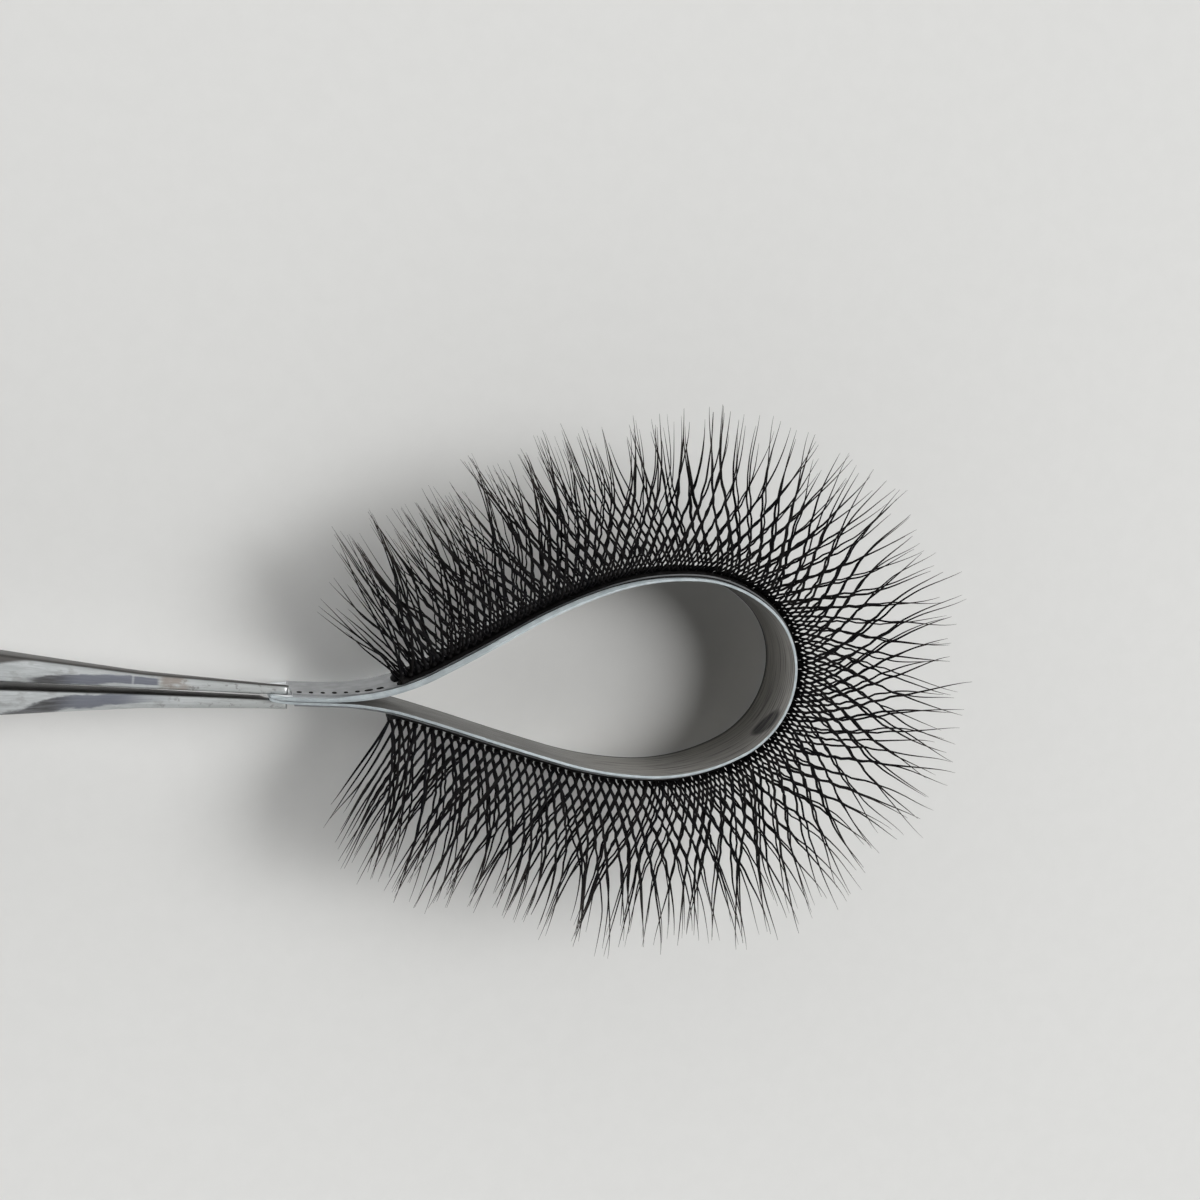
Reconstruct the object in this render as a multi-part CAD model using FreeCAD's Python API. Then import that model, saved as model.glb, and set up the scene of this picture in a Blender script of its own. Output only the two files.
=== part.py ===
import FreeCAD, Part
import math
import os

# A strip of lash fans on its carrier tape, bent into a teardrop loop and held in fine tweezers.
# Millimetres. +X runs from the heel of the tweezers to the round end of the loop.
# +Y is the way the upper arm opens, and +Z is up from the table that everything stands on.
# The origin lies on the table, under the middle of the heel.

os.makedirs("parts", exist_ok=True)

# Tweezers: two sheet steel arms, welded at the heel
heel_length = 14.0
heel_corner_radius = 2.0
arm_length = 101.0
arm_thickness = 0.95
handle_width = 7.5
handle_taper_length = 60.0
top_edge_slope = 1.0
low_edge_slope = 2.5
jaw_length = 14.0
jaw_relief = 0.07
tip_thickness = 0.38
tip_width = 0.5
tip_corner_radius = 0.2
bow_height = 2.6
bow_distance = 60.0
knuckle_radius = 1.2
flexure_clearance = 0.03
arm_parting = 0.06

# Carrier tape: stands on its lower edge, both tails between the jaws
tape_width = 4.0
tape_thickness = 0.12
tail_gap = 0.02
tail_overlap = 0.8
tail_corner_radius = 0.9
grip_clearance = 0.01
grip_depth = 1.1

# Loop of the tape's middle line: distances from the jaw end and from the jaws' middle plane
jaw_exit = 0.15
upper_neck_x = 2.6
upper_neck_rise = 0.10
upper_neck_slope = 6.0
upper_leg_x = 10.0
upper_leg_y = 3.63
upper_leg_slope = 33.3
crown_x = 18.26
crown_y = 6.58
nose_x = 23.40
nose_y = 2.25
belly_x = 16.64
belly_y = -2.73
lower_leg_x = 8.5
lower_leg_y = -1.20
lower_leg_slope = -15.3
lower_neck_x = 2.2
lower_neck_rise = 0.03
lower_neck_slope = 0.6

# Layers on the outer face of the tape
seat_clearance = 0.01
film_thickness = 0.14
film_edge_margin = 0.45
film_end_margin = 0.15
band_thickness = 0.16
band_height = 1.3
band_drop = 0.55

# Lash fans along the root band
lash_start = 5.0
lash_end = 4.5
lash_pitch = 0.40
lash_length = 8.3
root_elevation = 86.0
tip_elevation = 6.0
curl_power = 5.0
lean_angle = 16.0
upper_end_turn = -8.0
lower_end_turn = 5.0
fibre_root = 0.09
fibre_tip = 0.03
layer_step = 0.13
bead_width = 0.30
bead_depth = 0.28
bead_height = 0.55
bead_drop = 0.75
curl_station_count = 9
root_crowding = 1.6
curl_step_count = 48
upper_leg_section_count = 8
round_end_section_count = 9
lower_leg_section_count = 6

# Dots of glue left on the upper tail where fans were pulled off
dot_count = 8
dot_radius = 0.13
dot_height = 0.05
dot_spacing = 0.52
dot_lead = 0.9

UP = FreeCAD.Vector(0, 0, 1)
SIDE = FreeCAD.Vector(0, 1, 0)
CENTRE = FreeCAD.Vector(0, 0, 0)
STRAIGHT = 1e-9
SAME_PLACE = 1e-6

jaw_x = heel_length / 2 + arm_length
jaw_half_gap = tape_thickness + tail_gap / 2 + grip_clearance
jaw_z = tape_width - grip_depth
tail_y = (tape_thickness + tail_gap) / 2


# A plane path is a chain of spans (x, y, heading, curvature, length), each a line or an arc
def span_between(x, y, heading, to_x, to_y):
    chord = math.hypot(to_x - x, to_y - y)
    turn = 2 * math.remainder(math.atan2(to_y - y, to_x - x) - heading, 2 * math.pi)
    curvature = 2 * math.sin(turn / 2) / chord
    if abs(curvature) < STRAIGHT:
        return (x, y, heading, 0.0, chord)
    return (x, y, heading, curvature, turn / curvature)


def along(span, distance):
    x, y, heading, curvature, _ = span
    turned = heading + curvature * distance
    if curvature == 0.0:
        return x + distance * math.cos(heading), y + distance * math.sin(heading), turned
    right = (math.sin(turned) - math.sin(heading)) / curvature
    ahead = (math.cos(heading) - math.cos(turned)) / curvature
    return x + right, y + ahead, turned


def tangent_arcs(start, finish):
    """Two arcs that leave start and reach finish, each (x, y, heading), without a corner."""
    x0, y0, h0 = start
    x1, y1, h1 = finish
    chord_x = x1 - x0
    chord_y = y1 - y0
    reach = chord_x * (math.cos(h0) + math.cos(h1)) + chord_y * (math.sin(h0) + math.sin(h1))
    square = chord_x ** 2 + chord_y ** 2
    bend = 2 * (1 - math.cos(h1 - h0))
    if bend < STRAIGHT:
        handle = square / (2 * reach)
    else:
        handle = (math.sqrt(reach ** 2 + bend * square) - reach) / bend
    join_x = (x0 + x1 + handle * (math.cos(h0) - math.cos(h1))) / 2
    join_y = (y0 + y1 + handle * (math.sin(h0) - math.sin(h1))) / 2
    first = span_between(x0, y0, h0, join_x, join_y)
    join_heading = along(first, first[4])[2]
    return [first, span_between(join_x, join_y, join_heading, x1, y1)]


def smooth_path(knots):
    path = []
    for start, finish in zip(knots, knots[1:]):
        path += tangent_arcs(start, finish)
    return path


def path_length(path):
    return sum(span[4] for span in path)


def path_at(path, distance):
    for span in path[:-1]:
        if distance <= span[4]:
            return along(span, distance)
        distance -= span[4]
    return along(path[-1], distance)


def beside(span, distance, offset):
    """The point at a distance along a span, moved to its left by offset."""
    x, y, heading = along(span, distance)
    return FreeCAD.Vector(x - offset * math.sin(heading), y + offset * math.cos(heading), 0)


def offset_edges(path, start, finish, offset):
    """Edges that run beside the path from one distance along it to another."""
    edges = []
    passed = 0.0
    for span in path:
        low = max(start - passed, 0.0)
        high = min(finish - passed, span[4])
        passed += span[4]
        if high - low < STRAIGHT:
            continue
        first = beside(span, low, offset)
        last = beside(span, high, offset)
        if span[3] == 0.0:
            edges.append(Part.LineSegment(first, last).toShape())
        else:
            middle = beside(span, (low + high) / 2, offset)
            edges.append(Part.Arc(first, middle, last).toShape())
    return edges


def line(start, finish):
    return Part.LineSegment(start, finish).toShape()


def band(path, start, finish, inner, outer, low, high):
    """A strip that follows the path between two offsets, standing from low to high."""
    near = offset_edges(path, start, finish, inner)
    far = offset_edges(path, start, finish, outer)
    start_cap = line(near[0].Vertexes[0].Point, far[0].Vertexes[0].Point)
    end_cap = line(near[-1].Vertexes[-1].Point, far[-1].Vertexes[-1].Point)
    wire = Part.Wire(Part.__sortEdges__(near + [end_cap] + far + [start_cap]))
    solid = Part.Face(wire).extrude(UP * (high - low))
    return solid.translated(UP * low)


def round_corners(solid, radius, along_axis, places):
    """Rounds the edges that run along an axis and pass through the given (x, z) places."""
    chosen = []
    for edge in solid.Edges:
        start = edge.Vertexes[0].Point
        finish = edge.Vertexes[-1].Point
        if (finish - start).cross(along_axis).Length > SAME_PLACE:
            continue
        if any(math.hypot(start.x - x, start.z - z) < SAME_PLACE for x, z in places):
            chosen.append(edge)
    return solid.makeFillet(radius, chosen)


def save(name, shape):
    shape.exportStep("parts/" + name + ".step")


# Tweezers seen from the side: a long plate that tapers to the tips
def plate_edge(handle_z, tip_z, tip_heading):
    """One long edge of the plate, from the heel to the tip."""
    knots = [(-heel_length / 2, handle_z, 0.0), (jaw_x - handle_taper_length, handle_z, 0.0),
             (jaw_x, tip_z, tip_heading)]
    path = smooth_path(knots)
    return offset_edges(path, 0.0, path_length(path), 0.0)


def side_plate():
    low = plate_edge(0.0, jaw_z - tip_width / 2, math.radians(low_edge_slope))
    high = plate_edge(handle_width, jaw_z + tip_width / 2, -math.radians(top_edge_slope))
    heel_end = line(low[0].Vertexes[0].Point, high[0].Vertexes[0].Point)
    tip_end = line(low[-1].Vertexes[-1].Point, high[-1].Vertexes[-1].Point)
    face = Part.Face(Part.Wire(Part.__sortEdges__(low + [tip_end] + high + [heel_end])))
    face.rotate(CENTRE, FreeCAD.Vector(1, 0, 0), 90)
    plate = face.extrude(SIDE * (bow_height + arm_thickness + jaw_half_gap))
    heel_corners = [(-heel_length / 2, 0.0), (-heel_length / 2, handle_width)]
    plate = round_corners(plate, heel_corner_radius, SIDE, heel_corners)
    tip_corners = [(jaw_x, jaw_z - tip_width / 2), (jaw_x, jaw_z + tip_width / 2)]
    return round_corners(plate, tip_corner_radius, SIDE, tip_corners)


# The hinge that stands for the bend of each arm, in the middle of its thickness
hinge_y = arm_parting + arm_thickness / 2
hinge_x = heel_length / 2 + math.sqrt(knuckle_radius ** 2 - (arm_thickness / 2) ** 2)


def knuckle_arc(radius, low, high):
    """The round end about the hinge, from its lower corner to its upper one."""
    ends = []
    for y in (low, high):
        back = math.sqrt(radius ** 2 - (y - hinge_y) ** 2)
        ends.append(FreeCAD.Vector(hinge_x - back, y, 0))
    middle = FreeCAD.Vector(hinge_x - radius, hinge_y, 0)
    return Part.Arc(ends[0], middle, ends[1]).toShape()


def upper_arm():
    root_x = heel_length / 2
    knots = [(root_x, arm_parting, 0.0), (jaw_x - bow_distance, bow_height, 0.0),
             (jaw_x - jaw_length, jaw_half_gap + jaw_relief, 0.0)]
    inner_path = smooth_path(knots)
    length = path_length(inner_path)
    inner = offset_edges(inner_path, 0.0, length, 0.0)
    outer = offset_edges(inner_path, 0.0, length, arm_thickness)
    tip_inner = FreeCAD.Vector(jaw_x, jaw_half_gap, 0)
    tip_outer = FreeCAD.Vector(jaw_x, jaw_half_gap + tip_thickness, 0)
    jaw_face = line(inner[-1].Vertexes[-1].Point, tip_inner)
    jaw_back = line(tip_outer, outer[-1].Vertexes[-1].Point)
    knuckle = knuckle_arc(knuckle_radius, arm_parting, arm_parting + arm_thickness)
    edges = inner + [jaw_face, line(tip_inner, tip_outer), jaw_back] + outer + [knuckle]
    profile = Part.Face(Part.Wire(Part.__sortEdges__(edges))).extrude(UP * handle_width)
    return side_plate().common(profile).Solids[0]


def upper_tang():
    back = -heel_length / 2
    top = arm_parting + arm_thickness
    socket = knuckle_arc(knuckle_radius + flexure_clearance, 0.0, top)
    low_corner = FreeCAD.Vector(back, 0, 0)
    high_corner = FreeCAD.Vector(back, top, 0)
    edges = [line(low_corner, socket.Vertexes[0].Point), socket,
             line(socket.Vertexes[-1].Point, high_corner), line(high_corner, low_corner)]
    profile = Part.Face(Part.Wire(Part.__sortEdges__(edges))).extrude(UP * handle_width)
    return side_plate().common(profile).Solids[0]


# The loop of the tape's middle line, from the end of the upper tail round to the lower one
def loop_knots():
    half_turn = -math.pi
    knots = [(jaw_exit, tail_y, 0.0),
             (upper_neck_x, tail_y + upper_neck_rise, math.radians(upper_neck_slope)),
             (upper_leg_x, upper_leg_y, math.radians(upper_leg_slope)),
             (crown_x, crown_y, 0.0),
             (nose_x, nose_y, half_turn / 2),
             (belly_x, belly_y, half_turn),
             (lower_leg_x, lower_leg_y, half_turn + math.radians(lower_leg_slope)),
             (lower_neck_x, lower_neck_rise - tail_y, half_turn + math.radians(lower_neck_slope)),
             (jaw_exit, -tail_y, half_turn)]
    return [(jaw_x + x, y, heading) for x, y, heading in knots]


knots = loop_knots()
tail_end = jaw_x - tail_overlap
upper_tail = (tail_end, tail_y, 0.0, 0.0, tail_overlap + jaw_exit)
lower_tail = (jaw_x + jaw_exit, -tail_y, -math.pi, 0.0, tail_overlap + jaw_exit)
tape_path = [upper_tail] + smooth_path(knots) + [lower_tail]
tape_length = path_length(tape_path)


def distance_to(knot):
    """How far along the tape a knot of the loop lies."""
    return upper_tail[4] + path_length(smooth_path(knots[:knot + 1]))


upper_leg_distance = distance_to(2)
crown_distance = distance_to(3)
belly_distance = distance_to(5)
lower_leg_distance = distance_to(6)

tape_outer = tape_thickness / 2
film_inner = tape_outer + seat_clearance
film_outer = film_inner + film_thickness
band_inner = film_outer + seat_clearance
band_outer = band_inner + band_thickness
band_top = tape_width - band_drop
band_bottom = band_top - band_height
first_root = tail_overlap + lash_start
last_root = tape_length - tail_overlap - lash_end


def carrier_tape():
    tape = band(tape_path, 0.0, tape_length, -tape_outer, tape_outer, 0.0, tape_width)
    corners = [(tail_end, 0.0), (tail_end, tape_width)]
    return round_corners(tape, tail_corner_radius, SIDE, corners)


def adhesive_film():
    margin = tail_overlap + film_end_margin
    top = tape_width - film_edge_margin
    return band(tape_path, margin, tape_length - margin, film_inner, film_outer, film_edge_margin, top)


def root_band():
    return band(tape_path, first_root, last_root, band_inner, band_outer, band_bottom, band_top)


def on_tape(distance, offset, height):
    x, y, heading = path_at(tape_path, distance)
    return FreeCAD.Vector(x - offset * math.sin(heading), y + offset * math.cos(heading), height)


def residue_dots():
    height = (band_top + band_bottom) / 2
    dots = []
    for index in range(dot_count):
        distance = first_root - dot_lead - index * dot_spacing
        heading = path_at(tape_path, distance)[2]
        outward = FreeCAD.Vector(-math.sin(heading), math.cos(heading), 0)
        dots.append(Part.makeCylinder(dot_radius, dot_height, on_tape(distance, band_inner, height), outward))
    return Part.makeCompound(dots)


# A lash leaves its root almost upright and curls outward, fast at first and then slowly
def curl_line():
    """Points (outward, up, elevation) along one lash, from its root to its tip."""
    points = [(0.0, 0.0, math.radians(root_elevation))]
    step = lash_length / curl_step_count
    for index in range(curl_step_count):
        left = 1 - (index + 0.5) / curl_step_count
        elevation = tip_elevation + (root_elevation - tip_elevation) * left ** curl_power
        outward, up, _ = points[-1]
        angle = math.radians(elevation)
        points.append((outward + step * math.cos(angle), up + step * math.sin(angle), angle))
    return points


def lash_side():
    """The side outline of one tapered lash, as (outward, up) corners."""
    line_points = curl_line()
    upper = []
    lower = []
    for station in range(curl_station_count):
        share = station / (curl_station_count - 1)
        outward, up, angle = line_points[round(curl_step_count * share ** root_crowding)]
        half = (fibre_root + (fibre_tip - fibre_root) * share) / 2
        upper.append((outward - half * math.sin(angle), up + half * math.cos(angle)))
        lower.append((outward + half * math.sin(angle), up - half * math.cos(angle)))
    return upper + lower[::-1]


def lash_heading(distance):
    """The way a lash points: square to the legs and the round end, and turned in at the row's ends."""
    turn = math.pi / 2
    if distance < upper_leg_distance:
        share = (upper_leg_distance - distance) / (upper_leg_distance - first_root)
        turn += math.radians(upper_end_turn) * share
        distance = upper_leg_distance
    if distance > lower_leg_distance:
        share = (distance - lower_leg_distance) / (last_root - lower_leg_distance)
        turn += math.radians(lower_end_turn) * share
        distance = lower_leg_distance
    return path_at(tape_path, distance)[2] + turn


def lash(root, heading, outline):
    """One lash in its own upright plane, at the given root."""
    ahead = FreeCAD.Vector(math.cos(heading), math.sin(heading), 0)
    across = FreeCAD.Vector(-math.sin(heading), math.cos(heading), 0)
    corner = root - across * (fibre_root / 2)
    points = [corner + ahead * outward + UP * up for outward, up in outline]
    return Part.Face(Part.makePolygon(points + points[:1])).extrude(across * fibre_root)


def lash_fan(distance, outline):
    """Two lashes that lean apart from one bead: a neighbour's lash passes under or over each."""
    wall = math.degrees(path_at(tape_path, distance)[2])
    bead_low = tape_width - bead_drop - bead_height
    bead = Part.makeBox(bead_width, bead_depth, bead_height, FreeCAD.Vector(-bead_width / 2, 0, 0))
    bead.rotate(CENTRE, UP, wall)
    bead.translate(on_tape(distance, band_outer + seat_clearance, bead_low))
    heading = lash_heading(distance)
    lean = math.radians(lean_angle)
    root_height = tape_width - bead_drop - bead_height / 2
    first_offset = band_outer + seat_clearance + (bead_depth - layer_step) / 2
    over = lash(on_tape(distance, first_offset, root_height), heading + lean, outline)
    under_root = on_tape(distance, first_offset + layer_step, root_height - layer_step)
    under = lash(under_root, heading - lean, outline)
    return bead.fuse([over, under]).removeSplitter().Solids[0]


def fan_sections(name, start, finish, sections, outline):
    """Saves the fans between two distances along the tape as a row of nodes."""
    count = max(round((finish - start) / lash_pitch), sections)
    spacing = (finish - start) / count
    for section in range(sections):
        chosen = range(section * count // sections, (section + 1) * count // sections)
        fans = [lash_fan(start + (index + 0.5) * spacing, outline) for index in chosen]
        save(f"{name}_fans_{section + 1}", Part.makeCompound(fans))
    return count


arm = upper_arm()
tang = upper_tang()
save("upper_arm", arm)
save("lower_arm", arm.mirror(CENTRE, SIDE))
save("heel_upper_tang", tang)
save("heel_lower_tang", tang.mirror(CENTRE, SIDE))
save("carrier_tape", carrier_tape())
save("adhesive_film", adhesive_film())
save("root_band", root_band())
save("residue_dots", residue_dots())

side = lash_side()
fan_count = fan_sections("upper_leg", first_root, crown_distance, upper_leg_section_count, side)
fan_count += fan_sections("round_end", crown_distance, belly_distance, round_end_section_count, side)
fan_count += fan_sections("lower_leg", belly_distance, last_root, lower_leg_section_count, side)

tip_point = curl_line()[-1]
print("developed tape length", round(tape_length, 2))
print("lash fans", fan_count, "reach", round(tip_point[0], 2), "rise", round(tip_point[1], 2))
print("hinge", round(hinge_x, 4), round(hinge_y, 4), "jaw end", jaw_x, "jaw half gap", round(jaw_half_gap, 3))
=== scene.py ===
# %% [markdown]
# # A looped lash strip held in tweezers
# The object is a strip of false lashes on a silver carrier tape. The tape is bent into a teardrop loop,
# and fine steel tweezers pinch its two tails. The imported CAD model gives every size and place, so it is
# loaded first and never moved. Everything below dresses it: each new mesh of the object stands for a CAD
# piece, and the strip's pieces ride on the strip's body.

import itertools
import math
import random

import bpy
import numpy as np
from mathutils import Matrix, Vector


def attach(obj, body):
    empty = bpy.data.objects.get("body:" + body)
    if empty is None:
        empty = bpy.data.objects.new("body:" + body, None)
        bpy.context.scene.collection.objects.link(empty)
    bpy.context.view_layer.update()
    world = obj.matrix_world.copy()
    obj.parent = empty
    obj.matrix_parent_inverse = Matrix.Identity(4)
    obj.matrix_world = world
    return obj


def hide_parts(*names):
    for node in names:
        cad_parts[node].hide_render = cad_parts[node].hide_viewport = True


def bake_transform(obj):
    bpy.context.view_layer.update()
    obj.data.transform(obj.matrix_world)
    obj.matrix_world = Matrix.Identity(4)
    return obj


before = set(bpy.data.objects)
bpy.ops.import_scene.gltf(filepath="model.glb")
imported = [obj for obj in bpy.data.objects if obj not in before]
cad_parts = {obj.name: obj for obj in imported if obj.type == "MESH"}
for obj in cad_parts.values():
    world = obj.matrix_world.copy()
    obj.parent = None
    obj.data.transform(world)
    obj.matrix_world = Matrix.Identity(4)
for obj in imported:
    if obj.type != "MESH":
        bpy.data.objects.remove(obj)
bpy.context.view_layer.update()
MM = 0.001

# %% [markdown]
# ## Camera
# The loop is small and was photographed from close by, a little to the left of it and almost from above.
# Such a near camera gives strong perspective: the tape's inner wall shows at the lower right and its outer
# wall at the upper left. A longer lens from further away would lose that, so the camera stands 83 mm up.


# %% Place the camera
def show(name, data):
    """An object that holds some data, put in the scene."""
    made = bpy.data.objects.new(name, data)
    bpy.context.collection.objects.link(made)
    return made


camera_place = (0.099016, 0.015054, 0.08322)
camera_turn = (-8.286, -15.103, 5.897)
camera_data = bpy.data.cameras.new("studio_camera")
camera_data.lens = 55.0
camera_data.sensor_width = 36.0
camera_data.clip_start = 0.002
camera_data.clip_end = 30.0
camera = show("studio_camera", camera_data)
camera.location = camera_place
camera.rotation_euler = [math.radians(angle) for angle in camera_turn]
bpy.context.scene.camera = camera
bpy.context.scene.view_settings.view_transform = "Standard"
print("camera height in mm", round(camera.location.z / MM, 1))

# %% [markdown]
# ## Shader sums in Python
# A finish is a graph of nodes, which is slow to read as code. The small class below wraps one socket, so
# that `1 - mask * 0.5` adds the Math nodes by itself. Every other node comes from one method that takes its
# type, its settings and its sockets. Colours and vectors go through Mix and Combine nodes, because a Math
# node would turn a colour grey.


# %% One way to add a node
def plug(tree, socket, value):
    """Links a signal to a socket, or sets a plain value on it. A colour of three values is made opaque."""
    if isinstance(value, Signal):
        tree.links.new(value.socket, socket)
    else:
        socket.default_value = (*value, 1.0) if isinstance(value, tuple) else value


def add_node(tree, kind, settings, sockets, output=0):
    """Adds a node: its settings are set first, then its sockets are set or linked."""
    node = tree.nodes.new(kind)
    for key, value in settings.items():
        setattr(node, key, value)
    for key, value in sockets.items():
        plug(tree, node.inputs[key], value)
    return Signal(tree, node.outputs[output])


print("node helper ready")


# %% A socket that takes part in sums
class Signal:
    """One shader value. Sums and products of signals add Math nodes to their tree."""

    def __init__(self, tree, socket):
        self.tree = tree
        self.socket = socket

    def math(self, operation, first, second):
        return add_node(self.tree, "ShaderNodeMath", {"operation": operation}, {0: first, 1: second})

    def __add__(self, other):
        return self.math("ADD", self, other)

    __radd__ = __add__

    def __sub__(self, other):
        return self.math("SUBTRACT", self, other)

    def __rsub__(self, other):
        return self.math("SUBTRACT", other, self)

    def __mul__(self, other):
        return self.math("MULTIPLY", self, other)

    __rmul__ = __mul__

    def at_least(self, other):
        """The larger of two values."""
        return self.math("MAXIMUM", self, other)

    def between(self, low, high):
        """Rises smoothly from 0 at low to 1 at high."""
        settings = {"interpolation_type": "SMOOTHSTEP"}
        sockets = {"Value": self, "From Min": low, "From Max": high}
        return add_node(self.tree, "ShaderNodeMapRange", settings, sockets, "Result")

    def within(self, start, full, fade, end):
        """Rises smoothly from 0 at start to 1 at full, and falls from 1 at fade to 0 at end."""
        return self.between(start, full) * (1.0 - self.between(fade, end))


print("shader sums ready")


# %% A finish: one material and its nodes
SOCKET_NAMES = {"base_color": "Base Color", "roughness": "Roughness", "metallic": "Metallic",
                "specular": "Specular IOR Level", "normal": "Normal"}


class Finish:
    """A material built round one Principled shader."""

    def __init__(self, name, **constants):
        self.material = bpy.data.materials.new(name)
        self.material.use_nodes = True
        self.tree = self.material.node_tree
        self.shader = self.tree.nodes["Principled BSDF"]
        for key, value in constants.items():
            self.shader.inputs[SOCKET_NAMES[key]].default_value = value

    def node(self, *details):
        return add_node(self.tree, *details)

    def mark(self, name):
        """A value that the mesh carries at each of its points."""
        return self.node("ShaderNodeAttribute", {"attribute_name": name}, {}, "Fac")

    def grid(self, x, y, z=0.0):
        """A vector made of three values."""
        return self.node("ShaderNodeCombineXYZ", {}, {"X": x, "Y": y, "Z": z})

    def noise(self, where, scale=1.0, detail=3.0, roughness=0.55):
        """Cloudy values, mostly between 0.3 and 0.7."""
        sockets = {"Vector": where, "Scale": scale, "Detail": detail, "Roughness": roughness}
        return self.node("ShaderNodeTexNoise", {}, sockets, "Fac")

    def mix(self, factor, first, second):
        """A colour between two colours."""
        sockets = {0: factor, 6: first, 7: second}
        return self.node("ShaderNodeMix", {"data_type": "RGBA"}, sockets, 2)

    def layers(self, tone, *coats):
        """A colour with others laid over it, each by its own share."""
        for share, coat in coats:
            tone = self.mix(share, tone, coat)
        return tone

    def bump(self, height, distance, strength=1.0):
        sockets = {"Height": height, "Distance": distance, "Strength": strength}
        return self.node("ShaderNodeBump", {}, sockets)

    def feed(self, **links):
        """Links signals to the shader's own sockets."""
        for key, signal in links.items():
            plug(self.tree, self.shader.inputs[SOCKET_NAMES[key]], signal)


print("finish helper ready")

# %% [markdown]
# ## Floor and light
# The strip stands on a plain pale table. One large soft light comes from the right and a little from behind:
# it leaves the right end of the loop's inside dark and throws soft shadows to the left. A sun lamp with a
# wide angle gives that softness at one even level, which an area lamp this close would not. The world adds
# low light from all round, most of it near the horizon and from the left, which fills the shadows beside the
# loop. To the camera and to the steel the world shows itself as plain and pale.

# %% Stage the floor
floor_half = 3.0
floor_drop = 0.00002
floor_sides = ((-1, -1), (1, -1), (1, 1), (-1, 1))
floor_corners = [(x * floor_half, y * floor_half, -floor_drop) for x, y in floor_sides]
floor_mesh = bpy.data.meshes.new("table")
floor_mesh.from_pydata(floor_corners, [], [(0, 1, 2, 3)])
floor = show("table", floor_mesh)

grain_scale = 900.0
table_deep, table_pale = (0.705, 0.705, 0.690), (0.715, 0.715, 0.700)
table_top = Finish("table_top", roughness=0.9, specular=0.1)
table_spot = table_top.node("ShaderNodeTexCoord", {}, {}, "Object")
table_grain = table_top.noise(table_spot, grain_scale).between(0.3, 0.7)
table_top.feed(base_color=table_top.mix(table_grain, table_deep, table_pale))
floor_mesh.materials.append(table_top.material)
print("floor side in m", 2 * floor_half)

# %% Light from the right
light_level = 0.54
light_width = math.radians(32.0)
light_elevation = math.radians(38.0)
light_turn = math.radians(14.0)
sun_data = bpy.data.lights.new("soft_light", "SUN")
sun_data.angle = light_width
sun_data.energy = light_level * math.pi / math.sin(light_elevation)
sun = show("soft_light", sun_data)
travel = Vector((-math.cos(light_elevation) * math.cos(light_turn),
                 -math.cos(light_elevation) * math.sin(light_turn),
                 -math.sin(light_elevation)))
sun.rotation_euler = travel.to_track_quat("-Z", "Y").to_euler()
print("light strength", round(sun_data.energy, 2))

# %% Low light from the room
room_glow, low_glow, left_glow = 0.01, 6.5, 12.0
left_full, left_none = -0.75, -0.05
left_share = 0.7
room = bpy.data.worlds.new("room")
room.use_nodes = True
bpy.context.scene.world = room
room_tree = room.node_tree
look = add_node(room_tree, "ShaderNodeTexCoord", {}, {}, "Generated")
overhead = add_node(room_tree, "ShaderNodeSeparateXYZ", {}, {0: look}, "Z")
to_right = add_node(room_tree, "ShaderNodeSeparateXYZ", {}, {0: look}, "X")
sideways = 1.0 - overhead.at_least(0.0)
low_light = sideways * sideways * sideways * sideways
off_left = to_right.between(left_full, left_none)
lit_side = left_share + (1.0 - left_share) * off_left
from_left = 1.0 - off_left
ambient = room_tree.nodes["Background"]
plug(room_tree, ambient.inputs["Color"], (1.0, 1.0, 1.0))
glow = room_glow + low_light * (low_glow * lit_side + left_glow * from_left * low_light)
plug(room_tree, ambient.inputs["Strength"], glow)

wall_sockets = {"Color": (0.70, 0.70, 0.69), "Strength": 1.0}
pale_wall = add_node(room_tree, "ShaderNodeBackground", {}, wall_sockets)
seen = add_node(room_tree, "ShaderNodeLightPath", {}, {}, "Is Camera Ray")
for ray in ("Is Glossy Ray", "Is Transmission Ray"):
    seen = seen.at_least(add_node(room_tree, "ShaderNodeLightPath", {}, {}, ray))
mix_sockets = {0: seen, 1: Signal(room_tree, ambient.outputs[0]), 2: pale_wall}
room_mix = add_node(room_tree, "ShaderNodeMixShader", {}, mix_sockets)
plug(room_tree, room_tree.nodes["World Output"].inputs["Surface"], room_mix)
print("room nodes", len(room_tree.nodes))

# %% [markdown]
# ## Meshes from rings
# Tape, film, glue, lashes and tweezers are all long things with a cross-section, so one helper serves them:
# it takes rings of points and skins them. Points are given in millimetres, as in the CAD source, and each
# may carry named marks, such as its distance along the tape, that the finishes read. Marks stay on the
# surface when a piece bends, where object coordinates would slide.


# %% Skin rings and make pieces
def skin(ring_count, ring_size, first=0):
    """Faces that join rings of points, one after the other, with both ends closed."""
    faces = []
    for ring in range(ring_count - 1):
        low = first + ring * ring_size
        high = low + ring_size
        for spot in range(ring_size):
            after = (spot + 1) % ring_size
            faces.append((low + spot, low + after, high + after, high + spot))
    last = first + (ring_count - 1) * ring_size
    faces.append(tuple(range(first + ring_size - 1, first - 1, -1)))
    faces.append(tuple(range(last, last + ring_size)))
    return faces


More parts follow.
